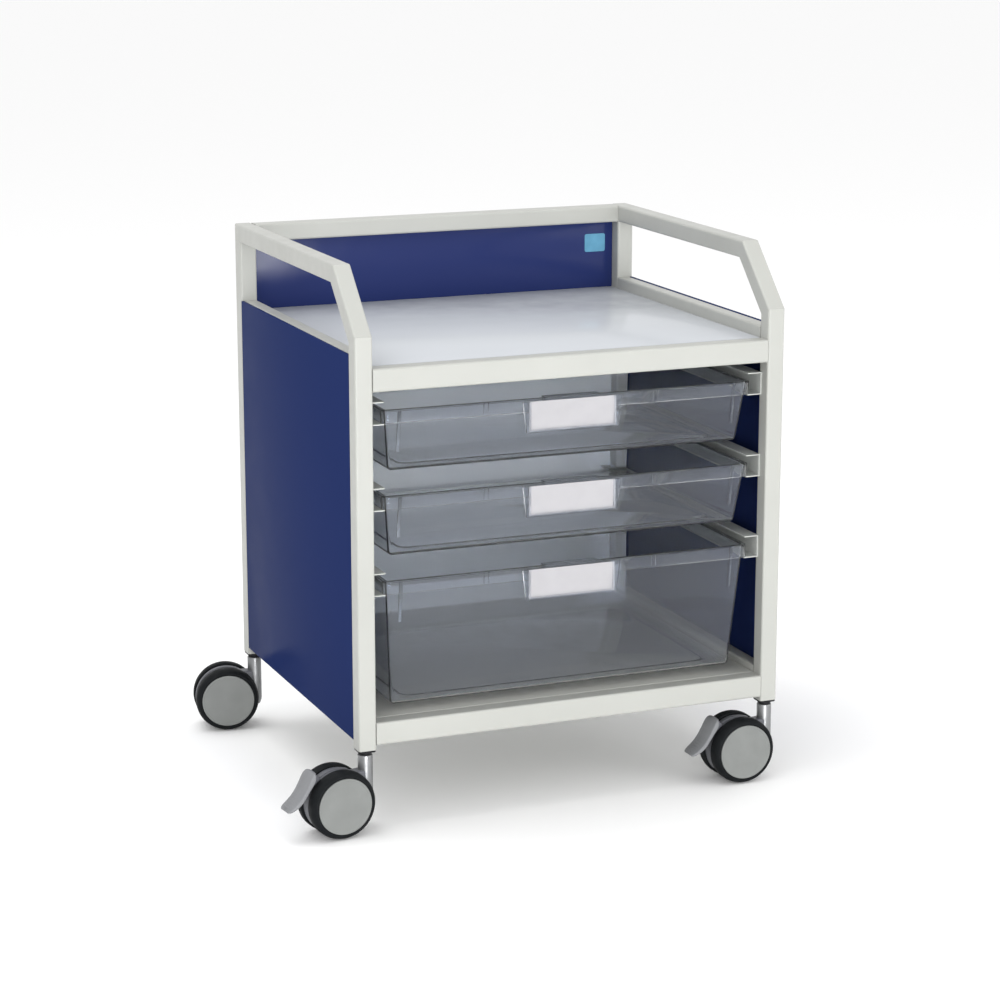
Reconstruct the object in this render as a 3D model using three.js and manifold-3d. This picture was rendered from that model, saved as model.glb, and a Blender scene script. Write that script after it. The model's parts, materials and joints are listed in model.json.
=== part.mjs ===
// Bedside cabinet on castors: a welded square-tube frame with handle loops, flat panels at the
// sides and back, a worktop and a base shelf, three clear pull-out trays on side runners, and
// four twin-wheel castors, the front two with a brake pedal.
//
// Units are millimetres. +X is right, +Y is back, +Z is up, and the floor is z = 0.
// The origin is the centre of the whole object's box, at the floor.

import * as THREE from "three";
import { mergeVertices } from "three/addons/utils/BufferGeometryUtils.js";
import Module from "manifold-3d";

// ---------------------------------------------------------------- driving dimensions

// Frame
const cabinetWidth = 500; // over the posts
const cabinetDepth = 418; // over the posts
const handleRise = 101; // top of the handles above the worktop
const tube = 20; // square tube, outside
const tubeWall = 1.5;
const tubeCorner = 2.5; // outside corner radius
const handleSlope = 67; // rise, and run, of the 45 degree slope at the front of a handle
const weldGap = 0.1; // left between welded pieces

// Shelves and panels
const worktopHeight = 414; // above the bottom of the posts
const worktopThickness = 8;
const baseHeight = 30; // above the bottom of the posts
const baseThickness = 6;
const frontRailHeight = 25;
const upperRailRise = 13; // upper side rails stand this far above the worktop
const lowerRailRise = 7; // lower side rails stand this far above the base shelf
const railHeight = 20;
const panelThickness = 3.5;
const panelInset = 0.3; // panel faces behind the faces of the posts
const panelGap = 0.2; // round each panel and shelf
const panelFoot = 8; // lower edge of the panels above the bottom of the posts

// Trays and runners
const trayPitch = 92.7;
const firstTrayDrop = 47; // worktop face down to the rim of the upper tray
const traySideRoom = 14; // between a post and a tray's rim
const trayBackRoom = 95; // behind the trays, to the back of the posts
const trayFloorGap = 8.6; // between the base shelf and the lower tray
const shallowHeight = 68.5;
const shallowTaper = { side: 6.6, front: 9.5 };
const deepTaper = { side: 9, front: 14 };
const trayWall = 2;
const trayCorner = 8; // corner radius of the rims, seen from above
const rimDrop = 14.5; // height of the turned-down rim
const rimSkirt = 1.8; // thickness of the turned-down rim
const rimGap = 1.6; // between rim and wall
const footRadius = 6; // between wall and floor
const floorStep = 1.6; // the middle of the floor stands this far above its edge
const floorEdge = 20; // width of the floor's edge
const floorCorner = 12; // corner radius of the raised middle
const traySetback = 11; // rim behind the front of the posts
const runnerLap = 3; // how far a runner's flange reaches under the rim
const runnerSheet = 1.2;
const runnerSetback = 14; // runner's front end behind the front of the posts
const runnerPlay = 0.3; // under a rim
const runnerHeadroom = 7.8; // over a rim

// Label holders
const labelWidth = 101.5;
const labelHeight = 32.5;
const labelThickness = 0.6;
const labelDrop = 2.5; // top of the card below the tray's rim
const holderSheet = 1;
const holderPlay = 0.3;
const holderLip = 2; // how far the holder's front edges cover the card
const holderWing = 7; // beyond the card at the top of the holder
const holderFoot = 2.5; // beyond the card at the foot of the holder
const hookWidth = 64;
const hookDrop = 6; // the hook turned down inside the tray

// Castors
const wheelRadius = 37.5;
const wheelTrail = 35; // axle behind the swivel axis
const castorWidth = 50; // over both wheels
const castorHeadroom = 15; // between the top of the wheels and the bottom of the posts
const wheelSides = 24;
const tyreDepth = 6.5; // from the tread to the hub
const treadSoft = 1.5; // rounding of the tread's inner edge
const shoulderDrop = 5.3; // how far the outer shoulder falls below the tread
const shoulderShare = 0.55; // width of the outer shoulder, as a share of the wheel's
const faceStep = 0.6; // tyre's side behind the hub's face
const hubEdge = 0.8; // rounding of the hub's rim
const hubBack = 0.4; // hub behind the tyre, on the side of the housing
const hubSeat = 0.3; // between hub and tyre
const axleRadius = 4;
const axleLength = 40;
const spinPlay = 0.3; // radial, axle in hub
const neckRadius = 8.2;
const neckFoot = 26; // lower end of the neck above the floor
const neckSides = 20;
const neckGap = 0.3; // between neck and wheels
const stemRadius = 5;
const stemPlay = 0.3; // radial, stem in neck
const stemDepth = 38; // below the plug's flange
const plugFlange = 2.5;
const plugDepth = 25; // inside the tube
const bossRadius = 7.4; // round boss under the plug's flange
const bossHeight = 2.6;
const swivelGap = 0.6; // between the plug's boss and the neck
const housingPlay = 1; // between housing and each wheel
const fenderDrop = 2; // fender below the tread
const webDrop = 16; // top of the web below the top of the neck
const webHalf = 3; // half the web's width behind the neck
const pedalReach = 5; // pedal pivot outside the tread
const pedalAngle = 48; // of the pedal pivot above the axle's level, in degrees
const pedalWidth = 26;
const pinSetback = 2; // end of the pivot pin inside the pedal's side
const earThickness = 3;
const earRadius = 4.2; // rounded head of an ear
const earPlay = 0.5; // round an ear, in the pedal
const pivotRadius = 1.5;
const pivotPlay = 0.3;

// The pedal's outline from its underside round to its top: distance outside the tread, and angle
// above the axle's level in degrees.
const pedalPlate = [
  [3.6, 48.9],
  [4.8, 38.8],
  [5, 29.6],
  [5.5, 19.7],
  [10, 8.5],
  [19.7, -4.5],
  [23, -2.4],
  [20.5, 1],
  [11.5, 20.3],
  [10.2, 44.6],
  [10.1, 51],
  [7.3, 54.5],
];

// The web's lower edge, below the neck.
const webFoot = [
  [0, 18],
  [8, 13.5],
];

// The way each castor trails, in degrees from straight left, turning clockwise from above to the front.
const castors = [
  { name: "front_left", side: -1, end: -1, turn: 6.5, braked: true },
  { name: "front_right", side: 1, end: -1, turn: 1, braked: true },
  { name: "back_left", side: -1, end: 1, turn: -10, braked: false },
  { name: "back_right", side: 1, end: 1, turn: 187, braked: false },
];

// ---------------------------------------------------------------- derived sizes

const left = -cabinetWidth / 2;
const front = -cabinetDepth / 2;
const back = cabinetDepth / 2;
const castorHeight = 2 * wheelRadius + castorHeadroom;
const foot = castorHeight; // bottom of the posts above the floor
const worktopTop = foot + worktopHeight;
const top = worktopTop + handleRise;
const baseTop = foot + baseHeight;
const innerX = cabinetWidth / 2 - tube; // inner face of the right posts
const railTop = worktopTop + upperRailRise;
const panelInner = panelInset + panelThickness; // inner face of a panel, from the outside
const backedRail = tube - panelInner - panelGap; // thickness of a rail that has a panel over it
const trayWidth = 2 * (innerX - traySideRoom); // over the rims
const trayDepth = cabinetDepth - traySetback - trayBackRoom;
const hubRadius = wheelRadius - tyreDepth;
const fenderRadius = wheelRadius - fenderDrop;
const pedalRadius = wheelRadius + pedalReach; // from axle to pedal pivot

// ---------------------------------------------------------------- materials

const paint = (color, roughness, metalness = 0) => () =>
  new THREE.MeshStandardMaterial({ color, roughness, metalness });
const whiteSteel = paint(0xe2e3dd, 0.38);
const glossTop = paint(0xc9ccd2, 0.16);
const navyPanel = paint(0x27315f, 0.28);
const runnerGrey = paint(0xd5d8d6, 0.45);
const whiteCard = paint(0xf2f1f6, 0.8);
const blackPlug = paint(0x17181a, 0.55);
const castorGrey = paint(0x6d6f73, 0.45, 0.2);
const hubGrey = paint(0x979c9b, 0.5);
const pedalGrey = paint(0x8b8d8b, 0.5);
const blackTyre = paint(0x191b1d, 0.6);
const clearPlastic = (opacity) => () =>
  new THREE.MeshStandardMaterial({
    color: 0x9aa4b2,
    roughness: 0.12,
    transparent: true,
    opacity,
  });

// ---------------------------------------------------------------- geometry helpers

const wasm = await Module();
wasm.setup();

const v3 = (x, y, z) => new THREE.Vector3(x, y, z);
const radians = THREE.MathUtils.degToRad;

// A closed surface through rings of equally many points. An open loft is capped at both ends,
// and a closed one joins its last ring to its first. Rings run anticlockwise about the way they
// advance.
function loft(rings, closed = false) {
  const n = rings[0].length;
  const points = rings.flat();
  const index = [];
  const spans = closed ? rings.length : rings.length - 1;
  for (let r = 0; r < spans; r++) {
    const a = r * n;
    const b = ((r + 1) % rings.length) * n;
    for (let i = 0; i < n; i++) {
      const j = (i + 1) % n;
      index.push(a + i, a + j, b + j, a + i, b + j, b + i);
    }
  }
  if (!closed) {
    const last = (rings.length - 1) * n;
    for (let i = 1; i < n - 1; i++) {
      index.push(0, i + 1, i);
      index.push(last, last + i, last + i + 1);
    }
  }
  const geometry = new THREE.BufferGeometry().setFromPoints(points);
  geometry.setIndex(index);
  return geometry;
}

// A rounded rectangle as [u, v] pairs, anticlockwise, with steps + 1 points at each corner.
function roundedRectangle(halfU, halfV, radius, steps = 2) {
  const points = [];
  for (let corner = 0; corner < 4; corner++) {
    const u = (corner === 0 || corner === 3 ? 1 : -1) * (halfU - radius);
    const v = (corner < 2 ? 1 : -1) * (halfV - radius);
    for (let s = 0; s <= steps; s++) {
      const angle = ((corner + s / steps) * Math.PI) / 2;
      points.push([u + radius * Math.cos(angle), v + radius * Math.sin(angle)]);
    }
  }
  return points;
}

function box(x0, x1, y0, y1, z0, z1) {
  return new THREE.BoxGeometry(x1 - x0, y1 - y0, z1 - z0).translate(
    (x0 + x1) / 2,
    (y0 + y1) / 2,
    (z0 + z1) / 2,
  );
}

// A flat outline of [x, z] pairs, anticlockwise seen from the front, made solid from y0 to y1.
function extrudeY(outline, y0, y1) {
  const shape = new THREE.Shape(outline.map(([x, z]) => new THREE.Vector2(x, z)));
  return new THREE.ExtrudeGeometry(shape, { depth: y1 - y0, bevelEnabled: false })
    .rotateX(Math.PI / 2)
    .translate(0, y1, 0);
}

function toSolid(geometry) {
  const bare = geometry.clone();
  bare.deleteAttribute("normal");
  bare.deleteAttribute("uv");
  const merged = mergeVertices(bare, 1e-3);
  return new wasm.Manifold(
    new wasm.Mesh({
      numProp: 3,
      vertProperties: merged.attributes.position.array,
      triVerts: new Uint32Array(merged.index.array),
    }),
  );
}

function toGeometry(solid) {
  const made = solid.getMesh();
  const geometry = new THREE.BufferGeometry();
  geometry.setAttribute("position", new THREE.BufferAttribute(made.vertProperties, 3));
  geometry.setIndex(new THREE.BufferAttribute(made.triVerts, 1));
  return geometry;
}

// The first geometry, with the others of "add" joined to it and those of "cut" taken away.
function combine(base, { add = [], cut = [] }) {
  let solid = toSolid(base);
  for (const piece of add) solid = solid.add(toSolid(piece));
  for (const piece of cut) solid = solid.subtract(toSolid(piece));
  return toGeometry(solid);
}

const cabinet = new THREE.Group();

function place(name, geometry, material, parent = cabinet) {
  geometry.computeVertexNormals();
  const mesh = new THREE.Mesh(geometry, material());
  mesh.name = name;
  parent.add(mesh);
  return mesh;
}

// A rectangular tube along straight stretches between the points of its centreline. The first
// and last cuts are the normals of its end faces, square when left out. Each bend is mitred, and
// each end is drawn back by half a weld gap.
function tubeAlong(points, { across, sizeU, sizeV, startCut, endCut }) {
  const u = across.clone().normalize();
  const last = points.length - 1;
  const ways = points.slice(1).map((point, i) => point.clone().sub(points[i]).normalize());
  const inset = weldGap / 2;
  const cuts = points.map((point, i) => {
    if (i === 0) {
      return { point: point.clone().addScaledVector(ways[0], inset), normal: startCut ?? ways[0] };
    }
    if (i === last) {
      const way = ways[last - 1];
      return { point: point.clone().addScaledVector(way, -inset), normal: endCut ?? way };
    }
    return { point, normal: ways[i - 1].clone().add(ways[i]).normalize() };
  });
  const ring = (wall, i) => {
    const way = ways[Math.min(i, last - 1)];
    const v = way.clone().cross(u);
    const corner = Math.max(tubeCorner - wall, 0.5);
    return roundedRectangle(sizeU / 2 - wall, sizeV / 2 - wall, corner, 4).map(([a, b]) => {
      const line = points[i].clone().addScaledVector(u, a).addScaledVector(v, b);
      const reach = cuts[i].point.clone().sub(line).dot(cuts[i].normal) / way.dot(cuts[i].normal);
      return line.addScaledVector(way, reach);
    });
  };
  const outward = points.map((_, i) => ring(0, i));
  const inward = points.map((_, i) => ring(tubeWall, last - i));
  return loft([...outward, ...inward], true);
}

// ---------------------------------------------------------------- frame

// The three tubes of one side loop, in the plane through their centrelines: the front post, the
// handle with its slope and bar, and the back post, mitred where they meet.
function sideLoop(side, name) {
  const x = side * (cabinetWidth / 2 - tube / 2);
  const half = tube / 2;
  const bend = half * Math.tan(radians(22.5)); // centreline's share of a 45 degree mitre
  const slopeFoot = v3(x, front + half, top - handleSlope - bend);
  const slopeHead = v3(x, front + handleSlope + bend, top - half);
  const backCorner = v3(x, back - half, top - half);
  const footCut = v3(0, Math.sin(radians(22.5)), Math.cos(radians(22.5)));
  const section = { across: v3(1, 0, 0), sizeU: tube, sizeV: tube };
  const post = tubeAlong([v3(x, front + half, foot), slopeFoot], { ...section, endCut: footCut });
  const handle = tubeAlong([slopeFoot, slopeHead, backCorner], {
    ...section,
    startCut: footCut,
    endCut: v3(0, 1, -1).normalize(),
  });
  const backPost = tubeAlong([v3(x, back - half, foot), backCorner], {
    ...section,
    endCut: v3(0, -1, 1).normalize(),
  });
  place(`front_${name}_post`, post, whiteSteel);
  place(`${name}_handle`, handle, whiteSteel);
  place(`back_${name}_post`, backPost, whiteSteel);
}

// A side rail behind the panel, between the posts, with its top at the given height.
function sideRail(side, name, railTopZ) {
  const x = side * (innerX + backedRail / 2);
  const z = railTopZ - railHeight / 2;
  const section = { across: v3(1, 0, 0), sizeU: backedRail, sizeV: railHeight };
  place(name, tubeAlong([v3(x, front + tube, z), v3(x, back - tube, z)], section), whiteSteel);
}

// A rail across the front or back, between the posts.
function crossRail(name, y, railTopZ, depth, height) {
  const z = railTopZ - height / 2;
  const section = { across: v3(0, 1, 0), sizeU: depth, sizeV: height };
  place(name, tubeAlong([v3(-innerX, y, z), v3(innerX, y, z)], section), whiteSteel);
}

function frame() {
  for (const [side, name] of [
    [-1, "left"],
    [1, "right"],
  ]) {
    sideLoop(side, name);
    sideRail(side, `${name}_upper_rail`, railTop);
    sideRail(side, `${name}_lower_rail`, baseTop + lowerRailRise);
  }
  crossRail("front_upper_rail", front + tube / 2, worktopTop, tube, frontRailHeight);
  crossRail("front_lower_rail", front + tube / 2, baseTop, tube, frontRailHeight);
  crossRail("back_upper_rail", back - tube / 2, top, tube, tube);
}

// ---------------------------------------------------------------- shelves and panels

// A board that fills the frame from the front rail to the back panel, flush with the front rail.
function shelf(name, topZ, thickness, material) {
  const half = innerX - panelGap;
  const y0 = front + tube + panelGap;
  const y1 = back - panelInner - panelGap;
  place(name, box(-half, half, y0, y1, topZ - thickness, topZ), material);
}

function panels() {
  const y0 = front + tube + panelGap;
  const y1 = back - tube - panelGap;
  const x0 = left + panelInset;
  const z0 = foot + panelFoot;
  place("left_panel", box(x0, x0 + panelThickness, y0, y1, z0, railTop), navyPanel);
  place("right_panel", box(-x0 - panelThickness, -x0, y0, y1, z0, railTop), navyPanel);

  // The back panel is in two parts, and they meet at the underside of the worktop.
  const half = innerX - panelGap;
  const yBack = back - panelInset;
  const seam = worktopTop - worktopThickness;
  const boards = [
    ["lower_back_panel", z0, seam - panelGap / 2, glossTop],
    ["upper_back_panel", seam + panelGap / 2, top - tube - panelGap, navyPanel],
  ];
  for (const [name, low, high, material] of boards) {
    place(name, box(-half, half, yBack - panelThickness, yBack, low, high), material);
  }
}

// ---------------------------------------------------------------- trays and runners

const upperRim = worktopTop - firstTrayDrop;
const lowerRim = upperRim - 2 * trayPitch;
const deepHeight = lowerRim - baseTop - trayFloorGap;
const trays = [
  { name: "upper", rim: upperRim, height: shallowHeight, taper: shallowTaper },
  { name: "middle", rim: upperRim - trayPitch, height: shallowHeight, taper: shallowTaper },
  { name: "lower", rim: lowerRim, height: deepHeight, taper: deepTaper },
];
const trayCentreY = front + traySetback + trayDepth / 2;

// A tray is one skin: up the outside, over the turned-down rim and down the inside.
function trayGeometry({ rim, height, taper }) {
  const ring = (halfX, halfY, radius, z) =>
    roundedRectangle(halfX, halfY, radius, 3).map(([x, y]) => v3(x, trayCentreY + y, rim + z));
  const rimX = trayWidth / 2;
  const rimY = trayDepth / 2;
  const wallX = rimX - rimSkirt - rimGap;
  const wallY = rimY - rimSkirt - rimGap;
  const wallCorner = trayCorner - rimSkirt - rimGap;
  const footX = wallX - taper.side;
  const footY = wallY - taper.front;
  const r = footRadius;
  const floorRing = (inset, corner, rise) =>
    ring(footX - inset, footY - inset, corner, -height + rise);
  const rings = [
    floorRing(floorEdge + floorStep, floorCorner - floorStep, floorStep),
    floorRing(floorEdge, floorCorner, 0),
    floorRing(r, 1, 0),
    floorRing(r * 0.3, wallCorner - r * 0.3, r * 0.3),
    floorRing(0, wallCorner, r),
    ring(wallX, wallY, wallCorner, -trayWall),
    ring(rimX - rimSkirt, rimY - rimSkirt, trayCorner - rimSkirt, -trayWall),
    ring(rimX - rimSkirt, rimY - rimSkirt, trayCorner - rimSkirt, -rimDrop),
    ring(rimX, rimY, trayCorner, -rimDrop),
    ring(rimX, rimY, trayCorner, 0),
    ring(wallX - trayWall, wallY - trayWall, wallCorner - trayWall, 0),
    floorRing(trayWall, wallCorner - trayWall, r),
    floorRing(r, 1, trayWall),
    floorRing(floorEdge, floorCorner, trayWall),
    floorRing(floorEdge + floorStep, floorCorner - floorStep, trayWall + floorStep),
  ];
  return loft(rings);
}

// A label holder: a pocket open at the top, wider there than at its foot, and hooked over the
// tray's front rim.
function labelHolder({ rim, height, taper }) {
  const rimFront = front + traySetback;
  const yBack = rimFront - holderPlay;
  const pocket = labelThickness + 2 * holderPlay;
  const yFront = yBack - 2 * holderSheet - pocket;
  const halfW = labelWidth / 2;
  const cardTop = rim - labelDrop;
  const cardFoot = cardTop - labelHeight;
  const bottom = cardFoot - holderPlay - holderSheet;
  const outline = [
    [-halfW - holderFoot, bottom],
    [halfW + holderFoot, bottom],
    [halfW + holderWing, cardTop],
    [-halfW - holderWing, cardTop],
  ];
  const body = extrudeY(outline, yFront, yBack);
  const pocketY = yFront + holderSheet;
  const open = cardTop + holderSheet;
  const slot = box(
    -halfW - holderPlay,
    halfW + holderPlay,
    pocketY,
    pocketY + pocket,
    cardFoot - holderPlay,
    open,
  );
  const window = box(
    -halfW + holderLip,
    halfW - holderLip,
    yFront - holderSheet,
    pocketY + holderPlay,
    cardFoot + holderLip,
    open,
  );
  const wallSlope = (taper.front * hookDrop) / (height - footRadius);
  const wallInner = rimFront + rimSkirt + rimGap + trayWall + wallSlope + holderPlay;
  const hookTop = rim + holderPlay + holderSheet;
  const hookPart = (y0, y1, z0) => box(-hookWidth / 2, hookWidth / 2, y0, y1, z0, hookTop);
  const hook = [
    hookPart(yBack - holderSheet, yBack, cardTop - hookDrop),
    hookPart(yBack - holderSheet, wallInner + holderSheet, rim + holderPlay),
    hookPart(wallInner, wallInner + holderSheet, rim - hookDrop),
  ];
  const cardY = pocketY + holderPlay;
  return {
    holder: combine(body, { add: hook, cut: [slot, window] }),
    card: box(-halfW, halfW, cardY, cardY + labelThickness, cardFoot, cardTop),
  };
}

// A C-shaped runner on the posts' inner faces, open towards the tray.
function runnerGeometry(side, rim) {
  const z0 = rim - rimDrop - runnerPlay - runnerSheet;
  const z1 = rim + runnerHeadroom + runnerSheet;
  const s = runnerSheet;
  const web = innerX - weldGap;
  const edge = trayWidth / 2 - runnerLap;
  const outline = [
    [edge, z0],
    [web, z0],
    [web, z1],
    [edge, z1],
    [edge, z1 - s],
    [web - s, z1 - s],
    [web - s, z0 + s],
    [edge, z0 + s],
  ];
  const facing = outline.map(([x, z]) => [side * x, z]);
  if (side < 0) facing.reverse();
  return extrudeY(facing, front + runnerSetback, back - tube / 2);
}

function traySet() {
  for (const tray of trays) {
    place(`${tray.name}_tray`, trayGeometry(tray), clearPlastic(0.4));
    const { holder, card } = labelHolder(tray);
    place(`${tray.name}_label_holder`, holder, clearPlastic(0.5));
    place(`${tray.name}_label_card`, card, whiteCard);
    place(`${tray.name}_left_runner`, runnerGeometry(-1, tray.rim), runnerGrey);
    place(`${tray.name}_right_runner`, runnerGeometry(1, tray.rim), runnerGrey);
  }
}

// ---------------------------------------------------------------- castors

// Castors are modelled in their own frame: the swivel axis is z, +x is the way they trail, and
// the axle lies along y.

const wheelInner = neckRadius + neckGap; // inner face of a wheel, from the middle
const wheelOuter = castorWidth / 2;
const housingHalf = wheelInner - housingPlay;
const axleZ = wheelRadius;
const neckTop = castorHeight - plugFlange - bossHeight - swivelGap;

// A body of revolution about the axle from [radius, y] pairs. Flats, not corners, lie at the
// stated radius, so that a wheel stands on a flat.
function turned(profile, sides, side = 1) {
  const spread = 1 / Math.cos(Math.PI / sides);
  const ordered = side > 0 ? profile : [...profile].reverse();
  const points = ordered.map(([r, y]) => new THREE.Vector2(r * spread, y * side));
  return new THREE.LatheGeometry(points, sides, Math.PI / sides).translate(wheelTrail, 0, axleZ);
}

// A cylinder across the castor, about a point of the plane through its middle.
function crossPin(radius, halfLength, x, z, sides = 16) {
  return new THREE.CylinderGeometry(radius, radius, 2 * halfLength, sides).translate(x, 0, z);
}

function upright(radius, z0, z1, sides) {
  return new THREE.CylinderGeometry(radius, radius, z1 - z0, sides)
    .rotateX(Math.PI / 2)
    .translate(0, 0, (z0 + z1) / 2);
}

function tyreGeometry(side) {
  const bore = hubRadius + hubSeat;
  const shoulderRun = shoulderShare * (wheelOuter - wheelInner);
  const profile = [
    [bore, wheelInner],
    [wheelRadius - treadSoft, wheelInner],
    [wheelRadius, wheelInner + treadSoft],
  ];
  for (const degrees of [0, 30, 55, 80]) {
    const angle = radians(degrees);
    profile.push([
      wheelRadius - shoulderDrop * (1 - Math.cos(angle)),
      wheelOuter - faceStep - shoulderRun * (1 - Math.sin(angle)),
    ]);
  }
  profile.push([bore, wheelOuter - faceStep], [bore, wheelInner]);
  return turned(profile, wheelSides, side);
}

function hubGeometry(side) {
  const inner = wheelInner + hubBack;
  const bore = axleRadius + spinPlay;
  const pocket = axleLength / 2 + spinPlay;
  const profile = [
    [0, pocket],
    [bore, pocket],
    [bore, inner],
    [hubRadius, inner],
    [hubRadius, wheelOuter - hubEdge],
    [hubRadius - hubEdge, wheelOuter],
    [0, wheelOuter],
  ];
  return turned(profile, wheelSides, side);
}

const pedalPivot = {
  x: wheelTrail + pedalRadius * Math.cos(radians(pedalAngle)),
  z: axleZ + pedalRadius * Math.sin(radians(pedalAngle)),
};

// The web between the wheels: a round fender over the axle, run into the neck.
function housingOutline() {
  const outline = [
    [webHalf, neckTop - webDrop],
    [-webHalf, neckTop - webDrop],
    [-webHalf, neckFoot],
    ...webFoot,
  ];
  const from = -40;
  const until = 125;
  const steps = 11;
  for (let i = 0; i <= steps; i++) {
    const angle = radians(from + ((until - from) * i) / steps);
    outline.push([
      wheelTrail + fenderRadius * Math.cos(angle),
      axleZ + fenderRadius * Math.sin(angle),
    ]);
  }
  return outline;
}

function housingGeometry(braked) {
  const web = extrudeY(housingOutline(), -housingHalf, housingHalf);
  const add = [
    upright(neckRadius, neckFoot, neckTop, neckSides),
    crossPin(axleRadius, axleLength / 2, wheelTrail, axleZ),
  ];
  const ceiling = neckTop + swivelGap;
  const boreFloor = castorHeight - plugFlange - stemDepth - swivelGap;
  const cut = [upright(stemRadius + stemPlay, boreFloor, ceiling, 16)];
  if (!braked) return combine(web, { add, cut });

  const { x, z } = pedalPivot;
  const root = fenderRadius - earRadius;
  const angle = radians(pedalAngle);
  const rootX = wheelTrail + root * Math.cos(angle);
  const rootZ = axleZ + root * Math.sin(angle);
  const acrossX = -Math.sin(angle) * earRadius;
  const acrossZ = Math.cos(angle) * earRadius;
  const head = [];
  for (let i = 0; i <= 8; i++) {
    const a = angle - Math.PI / 2 + (Math.PI * i) / 8;
    head.push([x + earRadius * Math.cos(a), z + earRadius * Math.sin(a)]);
  }
  const ear = [...head, [rootX + acrossX, rootZ + acrossZ], [rootX - acrossX, rootZ - acrossZ]];
  add.push(extrudeY(ear, -housingHalf, -housingHalf + earThickness));
  add.push(extrudeY(ear, housingHalf - earThickness, housingHalf));
  add.push(crossPin(pivotRadius, pedalWidth / 2 - pinSetback, x, z, 12));
  return combine(web, { add, cut });
}

// The brake pedal: a plate on the pivot that follows the wheels down to a toe, with a slot for
// each ear of the housing.
function pedalGeometry() {
  const { x, z } = pedalPivot;
  const plate = pedalPlate.map(([outside, degrees]) => [
    wheelTrail + (wheelRadius + outside) * Math.cos(radians(degrees)),
    axleZ + (wheelRadius + outside) * Math.sin(radians(degrees)),
  ]);
  const slotEnd = x + earRadius + 2 * earPlay;
  const slot = [
    [x - pedalRadius, axleZ],
    [slotEnd, axleZ],
    [slotEnd, z + pedalRadius],
    [x - pedalRadius, z + pedalRadius],
  ];
  const inner = housingHalf - earThickness - earPlay;
  const outer = housingHalf + earPlay;
  const body = extrudeY(plate, -pedalWidth / 2, pedalWidth / 2);
  const bore = crossPin(pivotRadius + pivotPlay, pedalWidth, x, z, 12);
  return combine(body, { cut: [extrudeY(slot, -outer, -inner), extrudeY(slot, inner, outer), bore] });
}

// The plug in a post's foot, with the stem that the castor turns on.
function plugGeometry() {
  const half = tube / 2 - tubeWall - panelGap;
  const flange = tube / 2 - 0.5;
  const under = foot - plugFlange;
  const section = roundedRectangle(half, half, tubeCorner - tubeWall + 0.5, 1);
  const insert = loft(
    [foot - 1, foot + plugDepth].map((z) => section.map(([x, y]) => v3(x, y, z))),
  );
  const stem = upright(stemRadius, under - stemDepth, foot, 16);
  const boss = upright(bossRadius, under - bossHeight, foot - plugFlange / 2, 16);
  const collar = box(-flange, flange, -flange, flange, under, foot - weldGap);
  return combine(collar, { add: [insert, boss, stem] });
}

function castorSet() {
  for (const { name, side, end, turn, braked } of castors) {
    const x = side * (cabinetWidth / 2 - tube / 2);
    const y = end * (cabinetDepth / 2 - tube / 2);
    place(`${name}_castor_plug`, plugGeometry(), blackPlug).position.set(x, y, 0);
    const castor = new THREE.Group();
    castor.position.set(x, y, 0);
    castor.rotation.z = radians(180 + turn);
    cabinet.add(castor);
    place(`${name}_castor_housing`, housingGeometry(braked), castorGrey, castor);
    for (const [wheelSide, wheel] of [
      [1, "a"],
      [-1, "b"],
    ]) {
      place(`${name}_tyre_${wheel}`, tyreGeometry(wheelSide), blackTyre, castor);
      place(`${name}_hub_${wheel}`, hubGeometry(wheelSide), hubGrey, castor);
    }
    if (braked) place(`${name}_brake_pedal`, pedalGeometry(), pedalGrey, castor);
  }
}

// ---------------------------------------------------------------- assembly

frame();
shelf("worktop", worktopTop, worktopThickness, glossTop);
shelf("base_shelf", baseTop, baseThickness, whiteSteel);
panels();
traySet();
castorSet();

// The origin goes to the centre of the whole object's box, at the floor.
const extent = new THREE.Box3().setFromObject(cabinet, true);
const middle = extent.getCenter(v3(0, 0, 0));
for (const child of cabinet.children) {
  child.position.x -= middle.x;
  child.position.y -= middle.y;
}

export default cabinet;
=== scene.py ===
"""Bedside cabinet on castors: the finished look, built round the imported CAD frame."""

import json
import math

import bmesh
import bpy
from mathutils import Matrix, Vector


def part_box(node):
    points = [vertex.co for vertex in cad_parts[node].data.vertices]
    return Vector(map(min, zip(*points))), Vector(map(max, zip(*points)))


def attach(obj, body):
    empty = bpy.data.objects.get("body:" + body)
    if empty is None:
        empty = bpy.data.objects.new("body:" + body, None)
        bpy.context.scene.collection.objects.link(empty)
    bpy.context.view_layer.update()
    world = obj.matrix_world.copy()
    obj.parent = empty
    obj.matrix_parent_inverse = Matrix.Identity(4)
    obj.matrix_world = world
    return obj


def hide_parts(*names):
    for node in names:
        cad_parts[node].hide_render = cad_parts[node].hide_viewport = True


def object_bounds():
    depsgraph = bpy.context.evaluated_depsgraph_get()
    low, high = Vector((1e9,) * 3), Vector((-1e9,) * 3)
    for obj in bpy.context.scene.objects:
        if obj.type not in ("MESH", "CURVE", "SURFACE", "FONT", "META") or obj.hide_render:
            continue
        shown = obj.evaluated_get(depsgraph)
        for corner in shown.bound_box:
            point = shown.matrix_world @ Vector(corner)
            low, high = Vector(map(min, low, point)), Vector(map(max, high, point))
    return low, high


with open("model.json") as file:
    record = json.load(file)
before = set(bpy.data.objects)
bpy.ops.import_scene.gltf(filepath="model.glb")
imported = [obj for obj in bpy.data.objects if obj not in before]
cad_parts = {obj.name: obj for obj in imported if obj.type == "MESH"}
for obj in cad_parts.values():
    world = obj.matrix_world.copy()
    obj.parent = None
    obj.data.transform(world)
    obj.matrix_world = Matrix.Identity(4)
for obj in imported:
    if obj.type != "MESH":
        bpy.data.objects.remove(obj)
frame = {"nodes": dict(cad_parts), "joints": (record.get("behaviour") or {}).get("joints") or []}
cad_low, cad_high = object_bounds()
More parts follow.
